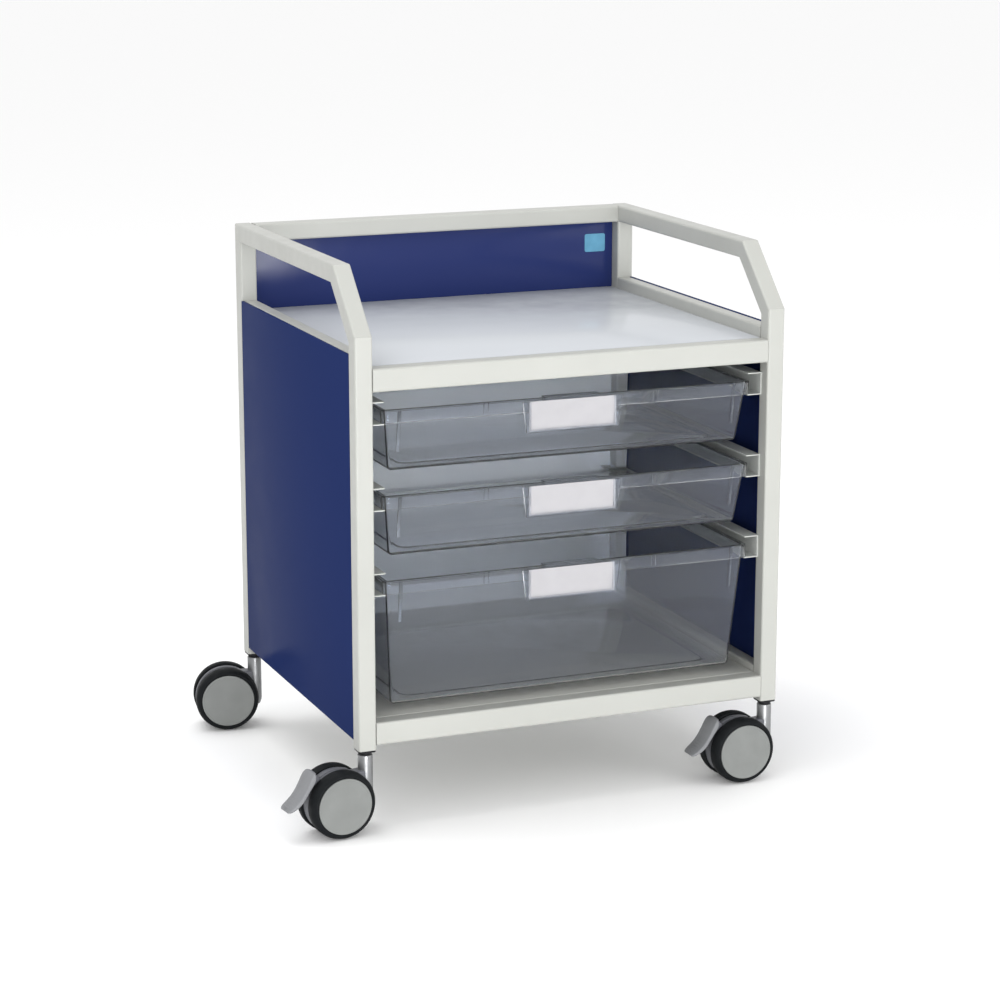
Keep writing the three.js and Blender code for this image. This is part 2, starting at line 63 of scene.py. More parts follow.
joints = {joint["name"]: joint for joint in frame["joints"]}

MM = 0.001
SIDES = (("left", -1), ("right", 1))
TRAYS = ("upper", "middle", "lower")
CASTORS = ("front_left", "front_right", "back_left", "back_right")
BRAKED = ("front_left", "front_right")
WHEELS = (("a", 1), ("b", -1))

# ------------------------------------------------------------------ materials


class Nodes:
    """A new node material with a Principled shader, and short ways to add to it."""

    def __init__(self, name, color, roughness, metallic=0.0, **settings):
        self.material = bpy.data.materials.new(name)
        self.material.use_nodes = True
        self.tree = self.material.node_tree
        self.shader = self.tree.nodes["Principled BSDF"]
        self.set("Base Color", (*color, 1.0))
        self.set("Roughness", roughness)
        self.set("Metallic", metallic)
        for key, value in settings.items():
            self.set(key.replace("_", " ").title().replace("Ior", "IOR"), value)
        self.place = self.add("ShaderNodeTexCoord").outputs["Object"]

    def add(self, kind, **inputs):
        node = self.tree.nodes.new(kind)
        for key, value in inputs.items():
            self.feed(node, key.replace("_", " ").title(), value)
        return node

    def feed(self, node, key, value):
        if isinstance(value, bpy.types.NodeSocket):
            self.tree.links.new(value, node.inputs[key])
        else:
            node.inputs[key].default_value = value

    def set(self, key, value):
        self.feed(self.shader, key, value)

    def noise(self, scale, detail=2.0, stretch=None):
        """A noise value from 0 to 1, with features about 1/scale metres across."""
        place = self.place
        if stretch:
            mapping = self.add("ShaderNodeMapping", vector=place)
            mapping.inputs["Scale"].default_value = stretch
            place = mapping.outputs["Vector"]
        node = self.add("ShaderNodeTexNoise", vector=place, scale=scale, detail=detail)
        return node.outputs["Fac"]

    def span(self, value, low, high, start=0.3, end=0.7):
        """Maps a 0 to 1 value to the range from low to high."""
        node = self.add("ShaderNodeMapRange", value=value)
        node.inputs["From Min"].default_value = start
        node.inputs["From Max"].default_value = end
        node.inputs["To Min"].default_value = low
        node.inputs["To Max"].default_value = high
        return node.outputs["Result"]

    def blend(self, factor, first, second):
        """A colour between two others."""
        node = self.add("ShaderNodeMix")
        node.data_type = "RGBA"
        self.tree.links.new(factor, node.inputs["Factor"])
        for socket, value in ((node.inputs[6], first), (node.inputs[7], second)):
            if isinstance(value, bpy.types.NodeSocket):
                self.tree.links.new(value, socket)
            else:
                socket.default_value = (*value, 1.0)
        return node.outputs[2]

    def bump(self, height, strength, distance, onto=None):
        node = self.add("ShaderNodeBump", height=height, strength=strength, distance=distance)
        if onto:
            self.tree.links.new(onto, node.inputs["Normal"])
        return node.outputs["Normal"]

    def color(self, low, high, scale=6.0, detail=3.0, start=0.3, end=0.7):
        """Lets the base colour drift between two close colours."""
        factor = self.span(self.noise(scale, detail), 0.0, 1.0, start, end)
        self.set("Base Color", self.blend(factor, low, high))


def powder_coat():
    mat = Nodes("powder_coat_white", (0.385, 0.39, 0.366), 0.36)
    mat.color((0.375, 0.38, 0.356), (0.395, 0.40, 0.376), scale=9.0)
    mat.set("Roughness", mat.span(mat.noise(60.0), 0.32, 0.44))
    peel = mat.bump(mat.noise(900.0, 1.0), 0.12, 0.0002)
    mat.set("Normal", mat.bump(mat.noise(26.0, 1.0), 0.02, 0.001, peel))
    return mat.material


def laminate(name, color, roughness, specular, ripple=0.006):
    """Smooth laminate: a flat colour with a slow drift, a ripple and fine scuffs."""
    mat = Nodes(name, color, roughness, specular_ior_level=specular)
    darker = tuple(value * 0.95 for value in color)
    mat.color(darker, color, scale=4.0)
    mat.set("Roughness", mat.span(mat.noise(35.0, 4.0), roughness, roughness + 0.07))
    wave = mat.bump(mat.noise(6.0, 1.0), ripple, 0.004)
    scuffs = mat.noise(260.0, 5.0, stretch=(0.25, 1.0, 1.0))
    mat.set("Normal", mat.bump(scuffs, 0.015, 0.0001, wave))
    return mat.material


def back_laminate(inner, outer):
    """Matt laminate on the lower back board. Its inside face is painted far lighter than its grey
    outside, as painted light for the light that does not reach inside the cabinet.
    """
    low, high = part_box("lower_back_panel")
    middle = (low.y + high.y) / 2
    mat = Nodes("back_grey_painted_lit_inside", inner, 0.45, specular_ior_level=0.1)
    # The inside face gets the painted-light colour, and the outside face keeps the board's own
    # grey.
    depth = mat.add("ShaderNodeSeparateXYZ", vector=mat.place).outputs["Y"]
    outside = mat.span(depth, 0.0, 1.0, middle - 0.2 * MM, middle + 0.2 * MM)
    drift = mat.span(mat.noise(4.0, 3.0), 0.0, 1.0)
    faces = []
    for face in (inner, outer):
        darker = tuple(value * 0.95 for value in face)
        faces.append(mat.blend(drift, darker, face))
    mat.set("Base Color", mat.blend(outside, *faces))
    mat.set("Roughness", mat.span(mat.noise(35.0, 4.0), 0.42, 0.52))
    scuffs = mat.noise(260.0, 5.0, stretch=(0.25, 1.0, 1.0))
    mat.set("Normal", mat.bump(scuffs, 0.015, 0.0001))
    return mat.material


def runner_plastic():
    mat = Nodes("runner_plastic", (0.46, 0.475, 0.455), 0.42)
    mat.color((0.44, 0.455, 0.435), (0.48, 0.495, 0.475), scale=12.0)
    mat.set("Roughness", mat.span(mat.noise(80.0), 0.36, 0.48))
    drawn = mat.noise(500.0, 2.0, stretch=(1.0, 0.02, 1.0))
    mat.set("Normal", mat.bump(drawn, 0.08, 0.0002))
    return mat.material


def clear_plastic(name, color, roughness, clarity):
    """Clear refracting plastic with a slight haze, faint flow marks and fine scratches."""
    mat = Nodes(
        name,
        color,
        roughness,
        ior=1.49,
        transmission_weight=clarity,
        specular_tint=(0.24, 0.27, 0.33, 1.0),
    )
    lighter = tuple(min(1.0, value * 1.04) for value in color)
    mat.color(color, lighter, scale=7.0)
    mat.set("Roughness", mat.span(mat.noise(70.0, 4.0), roughness, roughness + 0.05))
    flow = mat.bump(mat.noise(14.0, 1.0), 0.01, 0.002)
    scratches = mat.noise(420.0, 4.0, stretch=(0.12, 1.0, 1.0))
    mat.set("Normal", mat.bump(scratches, 0.01, 0.0001, flow))
    return mat.material


def card():
    mat = Nodes("card_white", (0.37, 0.365, 0.38), 0.8)
    mat.color((0.36, 0.355, 0.37), (0.38, 0.375, 0.39), scale=60.0)
    mat.set("Normal", mat.bump(mat.noise(2200.0, 3.0), 0.15, 0.0001))
    return mat.material


def moulded(name, color, roughness, grain=0.10, **settings):
    """Moulded plastic with a spark-eroded grain."""
    mat = Nodes(name, color, roughness, **settings)
    darker = tuple(value * 0.88 for value in color)
    mat.color(darker, color, scale=40.0)
    mat.set("Roughness", mat.span(mat.noise(150.0), roughness - 0.05, roughness + 0.08))
    mat.set("Normal", mat.bump(mat.noise(1800.0, 2.0), grain, 0.00015))
    return mat.material


def rubber():
    mat = Nodes("rubber_black", (0.007, 0.008, 0.009), 0.6, specular_ior_level=0.07)
    mat.color((0.006, 0.007, 0.008), (0.010, 0.011, 0.012), scale=70.0)
    mat.set("Roughness", mat.span(mat.noise(120.0), 0.48, 0.68))
    mat.set("Normal", mat.bump(mat.noise(1500.0, 3.0), 0.15, 0.0002))
    return mat.material


def satin_metal():
    """Zinc-plated steel with drawing marks along Z."""
    mat = Nodes("satin_metal", (0.25, 0.255, 0.26), 0.42, metallic=0.85)
    mat.color((0.23, 0.235, 0.24), (0.28, 0.285, 0.29), scale=50.0)
    mat.set("Roughness", mat.span(mat.noise(130.0), 0.30, 0.46))
    drawn = mat.noise(900.0, 2.0, stretch=(1.0, 1.0, 0.04))
    mat.set("Normal", mat.bump(drawn, 0.10, 0.0002))
    return mat.material


def sticker_film():
    mat = Nodes("sticker_film", (0.075, 0.27, 0.42), 0.35)
    mat.color((0.065, 0.24, 0.38), (0.09, 0.30, 0.46), scale=80.0)
    mat.set("Normal", mat.bump(mat.noise(1200.0, 2.0), 0.06, 0.0001))
    return mat.material


WHITE = powder_coat()
SIDE_NAVY = laminate("side_laminate_navy", (0.0165, 0.0285, 0.104), 0.18, 0.002)
BACK_NAVY = laminate("back_laminate_navy", (0.018, 0.029, 0.118), 0.12, 0.16, 0.002)
TOP_GREY = laminate("top_laminate_grey", (0.50, 0.52, 0.55), 0.12, 0.02)
# The first, inner colour is painted light: it is much lighter than the board's own grey, to light
# up the cabinet's dark inside.
BACK_GREY_LIT_INSIDE = back_laminate((0.90, 0.94, 0.97), (0.46, 0.50, 0.53))
RUNNER = runner_plastic()
TRAY = clear_plastic("tray_clear", (0.93, 0.945, 0.98), 0.03, 0.978)
HOLDER = clear_plastic("holder_clear", (0.90, 0.92, 0.96), 0.03, 0.975)
CARD = card()
PLUG = moulded("plug_black", (0.012, 0.012, 0.014), 0.5, specular_ior_level=0.2)
HOOD = moulded("castor_grey", (0.105, 0.108, 0.122), 0.42, specular_ior_level=0.4)
DISC = moulded("disc_grey", (0.195, 0.203, 0.197), 0.48, specular_ior_level=0.3)
PEDAL = moulded("pedal_grey", (0.185, 0.19, 0.20), 0.40)
TYRE = rubber()
METAL = satin_metal()
STICKER = sticker_film()

# ------------------------------------------------------------------ mesh helpers


def piece(name, mesh_or_bmesh, material, body, stands_for=(), sharp=32.0):
    """Makes an object from a mesh, smooth except at its sharp edges, and ties it to the frame."""
    if isinstance(mesh_or_bmesh, bmesh.types.BMesh):
        bmesh.ops.recalc_face_normals(mesh_or_bmesh, faces=mesh_or_bmesh.faces)
        mesh = bpy.data.meshes.new(name)
        mesh_or_bmesh.to_mesh(mesh)
        mesh_or_bmesh.free()
    else:
        mesh = mesh_or_bmesh
    mesh.shade_smooth()
    mesh.set_sharp_from_angle(angle=math.radians(sharp))
    mesh.materials.append(material)
    thing = bpy.data.objects.new(name, mesh)
    bpy.context.scene.collection.objects.link(thing)
    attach(thing, body)
    if stands_for:
        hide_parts(*stands_for)
    return thing


def loft(rings, closed=False, caps=True, place=Matrix.Identity(4)):
    """A bmesh skin through rings of equally many points."""
    bm = bmesh.new()
    rows = [[bm.verts.new(place @ Vector(point)) for point in ring] for ring in rings]
    count = len(rows[0])
    spans = len(rows) if closed else len(rows) - 1
    for row in range(spans):
        here, there = rows[row], rows[(row + 1) % len(rows)]
        for i in range(count):
            j = (i + 1) % count
            bm.faces.new((here[i], here[j], there[j], there[i]))
    if caps and not closed:
        bm.faces.new(rows[0])
        bm.faces.new(rows[-1])
    return bm


def rounded_rectangle(half_u, half_v, radius, steps=6):
    """Points of a rounded rectangle, anticlockwise."""
    points = []
    for corner in range(4):
        u = (half_u - radius) * (1 if corner in (0, 3) else -1)
        v = (half_v - radius) * (1 if corner < 2 else -1)
        for step in range(steps + 1):
            angle = (corner + step / steps) * math.pi / 2
            points.append((u + radius * math.cos(angle), v + radius * math.sin(angle)))
    return points


def bevelled_box(low, high, radius, segments=3, place=Matrix.Identity(4)):
    bm = bmesh.new()
    centre = (Vector(low) + Vector(high)) / 2
    size = Vector(high) - Vector(low)
    bmesh.ops.create_cube(bm, size=1.0)
    bmesh.ops.transform(bm, verts=bm.verts, matrix=Matrix.Diagonal((*size, 1.0)))
    bmesh.ops.bevel(
        bm, geom=list(bm.edges), offset=radius, segments=segments, profile=0.5, affect="EDGES"
    )
    bmesh.ops.transform(bm, verts=bm.verts, matrix=place @ Matrix.Translation(centre))
    return bm


def prism(outline, y0, y1, radius, place, segments=3):
    """An outline of (x, z) points made solid from y0 to y1, with its two rims rounded."""
    bm = bmesh.new()
    near = [bm.verts.new((x, y0, z)) for x, z in outline]
    far = [bm.verts.new((x, y1, z)) for x, z in outline]
    count = len(outline)
    for i in range(count):
        j = (i + 1) % count
        bm.faces.new((near[i], near[j], far[j], far[i]))
    bm.faces.new(near)
    bm.faces.new(far)
    bmesh.ops.recalc_face_normals(bm, faces=bm.faces)
    if radius:
        rims = [e for e in bm.edges if abs(e.verts[0].co.y - e.verts[1].co.y) < 1e-9]
        bmesh.ops.bevel(
            bm, geom=rims, offset=radius, segments=segments, profile=0.5, affect="EDGES"
        )
    bmesh.ops.transform(bm, verts=bm.verts, matrix=place)
    return bm


def lathe(profile, place, sides=96):
    """Turns a closed profile of (radius, along) points about the local Y axis."""
    rings = []
    for step in range(sides):
        angle = 2 * math.pi * step / sides
        rings.append([(r * math.cos(angle), y, r * math.sin(angle)) for r, y in profile])
    bm = loft(rings, closed=True, place=place)
    bmesh.ops.remove_doubles(bm, verts=bm.verts, dist=1e-7)
    return bm


def join(*parts):
    """One bmesh that holds several closed shells."""
    whole = bmesh.new()
    for part in parts:
        mesh = bpy.data.meshes.new("part")
        part.to_mesh(mesh)
        part.free()
        whole.from_mesh(mesh)
        bpy.data.meshes.remove(mesh)
    return whole


# ------------------------------------------------------------------ frame


def dress(node, material):
    """Gives a material to a CAD node that is kept as it is."""
    mesh = frame["nodes"][node].data
    mesh.materials.clear()
    mesh.materials.append(material)


def frame_finish():
    """The welded tubes keep their CAD shape, under a white powder coat."""
    plain = ["back_upper_rail", "front_upper_rail", "front_lower_rail"]
    for side, _ in SIDES:
        plain += [f"front_{side}_post", f"back_{side}_post", f"{side}_handle"]
        plain += [f"{side}_upper_rail", f"{side}_lower_rail"]
    for node in plain:
        dress(node, WHITE)


def bead(name, points, radius=0.9 * MM, sides=8):
    """A closed weld bead along a loop or line of points, with a faint ripple."""
    rings = []
    count = len(points)
    for i, point in enumerate(points):
        before, after = points[max(i - 1, 0)], points[min(i + 1, count - 1)]
        along = (after - before).normalized()
        u = along.orthogonal().normalized()
        v = along.cross(u)
        swell = radius * (1 + 0.18 * math.sin(i * 2.1))
        ring = []
        for step in range(sides):
            angle = 2 * math.pi * step / sides
            ring.append(point + u * swell * math.cos(angle) + v * swell * math.sin(angle))
        rings.append(ring)
    return piece(name, loft(rings), WHITE, "cabinet")


def line(start, end, step=1.5 * MM):
    """Points from start to end, about a step apart."""
    start, end = Vector(start), Vector(end)
    count = max(2, round((end - start).length / step))
    return [start.lerp(end, i / count) for i in range(count + 1)]


def weld_beads():
    """Beads in the corners where the cross rails meet the posts."""
    sink = 0.35 * MM
    for rail in ("front_upper_rail", "front_lower_rail", "back_upper_rail"):
        low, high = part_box(rail)
        edge = 2.5 * MM
        for side, sign in SIDES:
            x = (high.x if sign > 0 else low.x) - sign * sink
            y0, y1 = low.y + edge, high.y - edge
            bead(f"{rail}_{side}_bead", line((x, y0, low.z + sink), (x, y1, low.z + sink)))


# ------------------------------------------------------------------ panels and shelves


def boards():
    """The panels and shelves, each with a softened edge."""
    for node, material, slot, radius in (
        ("left_panel", SIDE_NAVY, "panel_navy", 0.6 * MM),
        ("right_panel", SIDE_NAVY, "panel_navy", 0.6 * MM),
        ("upper_back_panel", BACK_NAVY, "panel_navy", 0.6 * MM),
        ("lower_back_panel", BACK_GREY_LIT_INSIDE, "laminate_grey", 0.6 * MM),
        ("worktop", TOP_GREY, "laminate_grey", 0.9 * MM),
        ("base_shelf", WHITE, "frame_white", 0.9 * MM),
    ):
        low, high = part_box(node)
        board = bevelled_box(low, high, radius)
        piece(f"{node}_board", board, material, "cabinet", [node])


def sticker():
    """A plain blank sticker on the upper right of the back panel."""
    low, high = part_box("upper_back_panel")
    size_x, size_z = 27 * MM, 22 * MM
    from_right, from_top = 10 * MM, 15 * MM
    centre = Vector((high.x - from_right - size_x / 2, low.y, high.z - from_top - size_z / 2))
    half_x, half_z = size_x / 2, size_z / 2
    proud = 0.25 * MM
    outline = rounded_rectangle(half_x, half_z, 2.5 * MM)
    rings = []
    for inset, depth in ((0, 0.02 * MM), (0, -proud * 0.6), (0.12 * MM, -proud)):
        scale_x, scale_z = (half_x - inset) / half_x, (half_z - inset) / half_z
        rings.append([(x * scale_x, depth, z * scale_z) for x, z in outline])
    film = loft(rings, place=Matrix.Translation(centre))
    piece("blank_sticker", film, STICKER, "cabinet")


# ------------------------------------------------------------------ trays and runners

TRAY_WALL = 2.0 * MM
RIM_DROP = 14.5 * MM
RIM_SKIRT = 1.8 * MM
RIM_GAP = 1.6 * MM
RIM_CORNER = 8.0 * MM
FOOT_RADIUS = 6.0 * MM
FLOOR_STEP = 1.6 * MM
FLOOR_EDGE = 20.0 * MM
FLOOR_CORNER = 12.0 * MM
# How far the side walls and the front wall lean in towards the floor, in mm.
TAPERS = {"upper": (6.6, 9.5), "middle": (6.6, 9.5), "lower": (9.0, 14.0)}
RIB_HEIGHT = 45 * MM
RIB_FOOT_ROOM = 22 * MM
RIB_HALF_WIDTH = 2.0 * MM
RIB_PROUD = 0.9 * MM
RIB_FROM_SIDE = 20 * MM
CATCH_FROM_MIDDLE = 99 * MM
CATCH_SPREAD = 2.6 * MM
CATCH_HALF_WIDTH = 0.6 * MM
CATCH_PROUD = 0.45 * MM


def tray_skin(tray):
    """The tray as one closed skin, with a rounded rim, a stacking step and a rounded foot."""
    low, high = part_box(f"{tray}_tray")
    side_taper, front_taper = (value * MM for value in TAPERS[tray])
    centre = (low + high) / 2
    rim_x, rim_y = (high.x - low.x) / 2, (high.y - low.y) / 2
    height = high.z - low.z
    wall_x, wall_y = rim_x - RIM_SKIRT - RIM_GAP, rim_y - RIM_SKIRT - RIM_GAP
    wall_corner = RIM_CORNER - RIM_SKIRT - RIM_GAP
    slope_span = height - FOOT_RADIUS - TRAY_WALL

    def ring(inset, depth, corner):
        """A ring set in from the rim, at a depth below it."""
        outline = rounded_rectangle(rim_x - inset, rim_y - inset, max(corner, 1.0 * MM))
        return [(centre.x + x, centre.y + y, high.z - depth) for x, y in outline]

    def wall_ring(depth, thickness=0.0):
        """A ring on the sloping wall, or inside it by the wall's thickness."""
        share = min(max((depth - TRAY_WALL) / slope_span, 0.0), 1.0)
        half_x = wall_x - side_taper * share - thickness
        half_y = wall_y - front_taper * share - thickness
        outline = rounded_rectangle(half_x, half_y, wall_corner - thickness)
        return [(centre.x + x, centre.y + y, high.z - depth) for x, y in outline]

    def foot_ring(angle, thickness=0.0):
        """A ring on the rounding between wall and floor."""
        radius = FOOT_RADIUS - thickness
        drop = height - FOOT_RADIUS + radius * math.sin(angle)
        inset = FOOT_RADIUS - radius * math.cos(angle)
        half_x = wall_x - side_taper - inset
        half_y = wall_y - front_taper - inset
        outline = rounded_rectangle(half_x, half_y, max(wall_corner - inset, 1.5 * MM))
        return [(centre.x + x, centre.y + y, high.z - drop) for x, y in outline]

    def floor_ring(inset, rise):
        """A ring on the step round the raised middle of the floor."""
        half_x = wall_x - side_taper - FLOOR_EDGE - inset
        half_y = wall_y - front_taper - FLOOR_EDGE - inset
        outline = rounded_rectangle(half_x, half_y, FLOOR_CORNER - inset)
        return [(centre.x + x, centre.y + y, low.z + rise) for x, y in outline]

    soft = 0.6 * MM
    angles = [math.radians(value) for value in (90, 67.5, 45, 22.5, 0)]
    steps = [(FLOOR_STEP, FLOOR_STEP), (FLOOR_STEP * 0.7, FLOOR_STEP * 0.85)]
    steps += [(FLOOR_STEP * 0.3, FLOOR_STEP * 0.15), (0, 0)]
    rings = [floor_ring(inset, rise) for inset, rise in steps]
    rings += [foot_ring(angle) for angle in angles]
    rings += [wall_ring(depth) for depth in (height * 0.6, RIM_DROP * 1.6, TRAY_WALL)]
    rings += [
        ring(RIM_SKIRT, TRAY_WALL, RIM_CORNER - RIM_SKIRT),
        ring(RIM_SKIRT, RIM_DROP - soft, RIM_CORNER - RIM_SKIRT),
        ring(RIM_SKIRT - soft * 0.7, RIM_DROP, RIM_CORNER - RIM_SKIRT + soft * 0.7),
        ring(soft * 0.7, RIM_DROP, RIM_CORNER - soft * 0.7),
        ring(0, RIM_DROP - soft, RIM_CORNER),
        ring(0, soft, RIM_CORNER),
        ring(soft * 0.3, soft * 0.3, RIM_CORNER - soft * 0.3),
        ring(soft, 0, RIM_CORNER - soft),
    ]
    inner = RIM_SKIRT + RIM_GAP + TRAY_WALL
    rings += [
        ring(inner - soft, 0, wall_corner - TRAY_WALL + soft),
        ring(inner - soft * 0.3, soft * 0.3, wall_corner - TRAY_WALL + soft * 0.3),
        wall_ring(soft + TRAY_WALL, TRAY_WALL),
    ]
    rings += [wall_ring(depth, TRAY_WALL) for depth in (RIM_DROP * 1.6, height * 0.6)]
    rings += [foot_ring(angle, TRAY_WALL) for angle in reversed(angles)]
    rings += [floor_ring(inset, rise + TRAY_WALL) for inset, rise in reversed(steps)]
    return loft(rings)


def tray_ribs(tray):
    """Stacking ribs near the front corners and the two catches in the rim's front."""
    low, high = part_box(f"{tray}_tray")
    height = high.z - low.z
    front_taper = TAPERS[tray][1] * MM
    lean = math.atan(front_taper / (height - FOOT_RADIUS - TRAY_WALL))
    rib_height = min(RIB_HEIGHT, height - RIB_FOOT_ROOM)
    wall_front = low.y + RIM_SKIRT + RIM_GAP
    sink = 0.25 * MM
    shells = []
    for sign in (-1, 1):
        corner_x = (low.x + high.x) / 2 + sign * ((high.x - low.x) / 2 - RIB_FROM_SIDE)
        rib_low = Vector((-RIB_HALF_WIDTH, -RIB_PROUD, -rib_height))
        rib_high = Vector((RIB_HALF_WIDTH, sink, 0.0))
        top = Vector((corner_x, wall_front, high.z - TRAY_WALL - 1 * MM))
        place = Matrix.Translation(top) @ Matrix.Rotation(lean, 4, "X")
        shells.append(bevelled_box(rib_low, rib_high, 0.35 * MM, 2, place))
        catch_x = (low.x + high.x) / 2 + sign * CATCH_FROM_MIDDLE
        for offset in (-CATCH_SPREAD, CATCH_SPREAD):
            left, right = catch_x + offset - CATCH_HALF_WIDTH, catch_x + offset + CATCH_HALF_WIDTH
            catch_low = (left, low.y - CATCH_PROUD, high.z - RIM_DROP + 2 * MM)
            catch_high = (right, low.y + sink, high.z - 0.4 * MM)
            shells.append(bevelled_box(catch_low, catch_high, 0.25 * MM, 2))
    return join(*shells)


def label_card(tray):
    """The paper card, with a slight bow."""
    low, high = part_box(f"{tray}_label_card")
    half_x, half_z = (high.x - low.x) / 2, (high.z - low.z) / 2
    centre = (low + high) / 2
    thick = (high.y - low.y) * 0.6
    bow = (high.y - low.y) * 0.35
    steps_x, steps_z = 24, 8
    bm = bmesh.new()
    sheets = []
    for depth in (-thick / 2, thick / 2):
        grid = []
        for i in range(steps_x + 1):
            u = 2 * i / steps_x - 1
            row = []
            for k in range(steps_z + 1):
                w = 2 * k / steps_z - 1
                y = centre.y + depth - bow * (1 - u * u) * 0.5 + bow * 0.25
                row.append(bm.verts.new((centre.x + u * half_x, y, centre.z + w * half_z)))
            grid.append(row)
        sheets.append(grid)
    for grid in sheets:
        for i in range(steps_x):
            for k in range(steps_z):
                bm.faces.new((grid[i][k], grid[i + 1][k], grid[i + 1][k + 1], grid[i][k + 1]))
    front, rear = sheets
    border = [(i, 0) for i in range(steps_x)]
    border += [(steps_x, k) for k in range(steps_z)]
    border += [(steps_x - i, steps_z) for i in range(steps_x)]
    border += [(0, steps_z - k) for k in range(steps_z)]
    for here, there in zip(border, border[1:] + border[:1]):
        bm.faces.new(
            (
                front[here[0]][here[1]],
                front[there[0]][there[1]],
                rear[there[0]][there[1]],
                rear[here[0]][here[1]],
            )
        )
    return bm


def drawers():
    for tray in TRAYS:
        body = f"{tray}_drawer"
        piece(f"{tray}_tray_moulding", tray_skin(tray), TRAY, body, [f"{tray}_tray"])
        piece(f"{tray}_tray_ribs", tray_ribs(tray), TRAY, body)
        cards = [f"{tray}_label_card"]
        piece(f"{tray}_label_paper", label_card(tray), CARD, body, cards)
        dress(f"{tray}_label_holder", HOLDER)
        for side, _ in SIDES:
            dress(f"{tray}_{side}_runner", RUNNER)


# ------------------------------------------------------------------ castors

# Each castor is built in its own frame: the swivel axis is Z, +X is the way it trails, and the
# axle lies along Y.


def castor_place(castor):
    """The castor's own frame, the trail and the axle's height."""
    swivel = Vector(joints[f"{castor}_swivel"]["pos_m"])
    spin = joints[f"{castor}_spin_a"]
    axle = Vector(spin["pos_m"])
    y = Vector(spin["axis"]).normalized()
    x = y.cross(Vector((0, 0, 1)))
    place = Matrix.Identity(4)
    place.col[0][:3] = x
    place.col[1][:3] = y
    place.col[3][:3] = (swivel.x, swivel.y, 0.0)
    trail = (axle - swivel).dot(x)
    return place, trail, axle.z


WHEEL_RADIUS = joints["front_left_spin_a"]["pos_m"][2]
HUB_RADIUS = WHEEL_RADIUS - 6.5 * MM
WHEEL_INNER = 8.5 * MM
WHEEL_OUTER = 25.0 * MM
HOUSING_HALF = 7.5 * MM
NECK_RADIUS = 8.2 * MM
NECK_FOOT = 26.0 * MM
FENDER_RADIUS = 35.5 * MM
WEB_EDGE = 1.8 * MM
SPINE_HALF = 2.6 * MM
EAR_RADIUS = 4.2 * MM
EAR_INNER = 4.4 * MM
PIN_RADIUS = 1.4 * MM
PIN_HALF = 10.5 * MM
STEM_RADIUS = 5.4 * MM
COLLAR_GAP = 0.05 * MM
COLLAR_HEIGHT = 2.45 * MM
COLLAR_CORNER = 2.0 * MM
BOSS_RADIUS = 7.4 * MM
BOSS_HEIGHT = 2.6 * MM


def arc(centre, radius, start, end, steps):
    """Points on an arc, with angles in degrees."""
    points = []
    for step in range(steps + 1):
        angle = math.radians(start + (end - start) * step / steps)
        points.append((centre[0] + radius * math.cos(angle), centre[1] + radius * math.sin(angle)))
    return points


def tyre(place, axle, side):
    """A tyre with a full rounded outer shoulder, and a fine bead round the disc."""
    bore = HUB_RADIUS + 0.25 * MM
    lip = WHEEL_OUTER - 0.6 * MM
    drop, run = 5.1 * MM, 9.0 * MM
    profile = [(bore, WHEEL_INNER)]
    profile += arc((WHEEL_RADIUS - 2 * MM, WHEEL_INNER + 2 * MM), 2 * MM, -90, 0, 5)
    for step in range(15):
        angle = math.radians(6 * step)
        r = WHEEL_RADIUS - drop * (1 - math.cos(angle))
        profile.append((r, lip - run * (1 - math.sin(angle))))
    profile += [
        (bore + 0.9 * MM, lip + 0.02 * MM),
        (bore + 0.4 * MM, lip - 0.25 * MM),
        (bore, lip - 0.7 * MM),
    ]
    turned = [(r, side * y) for r, y in profile]
    return lathe(turned, place @ Matrix.Translation(axle))


def disc(place, axle, side):
    """The wheel's face: a rounded rim, a shallow groove and a slight dish."""
    face = WHEEL_OUTER - 0.2 * MM
    inner = WHEEL_INNER + 0.4 * MM
    rim = HUB_RADIUS
    profile = [(0.02 * MM, inner + 9 * MM), (4.6 * MM, inner + 9 * MM), (4.6 * MM, inner)]
    profile += [(rim - 1 * MM, inner), (rim, inner + 1 * MM)]
    profile += arc((rim - 0.8 * MM, face - 0.8 * MM), 0.8 * MM, 0, 90, 5)
    profile += [
        (rim - 1.9 * MM, face),
        (rim - 2.3 * MM, face - 0.25 * MM),
        (rim - 2.9 * MM, face - 0.3 * MM),
        (rim * 0.5, face - 0.55 * MM),
        (0.02 * MM, face - 0.6 * MM),
    ]
    turned = [(r, side * y) for r, y in profile]
    return lathe(turned, place @ Matrix.Translation(axle))


PIVOT_REACH = WHEEL_RADIUS + 5 * MM
PIVOT_ANGLE = math.radians(48)


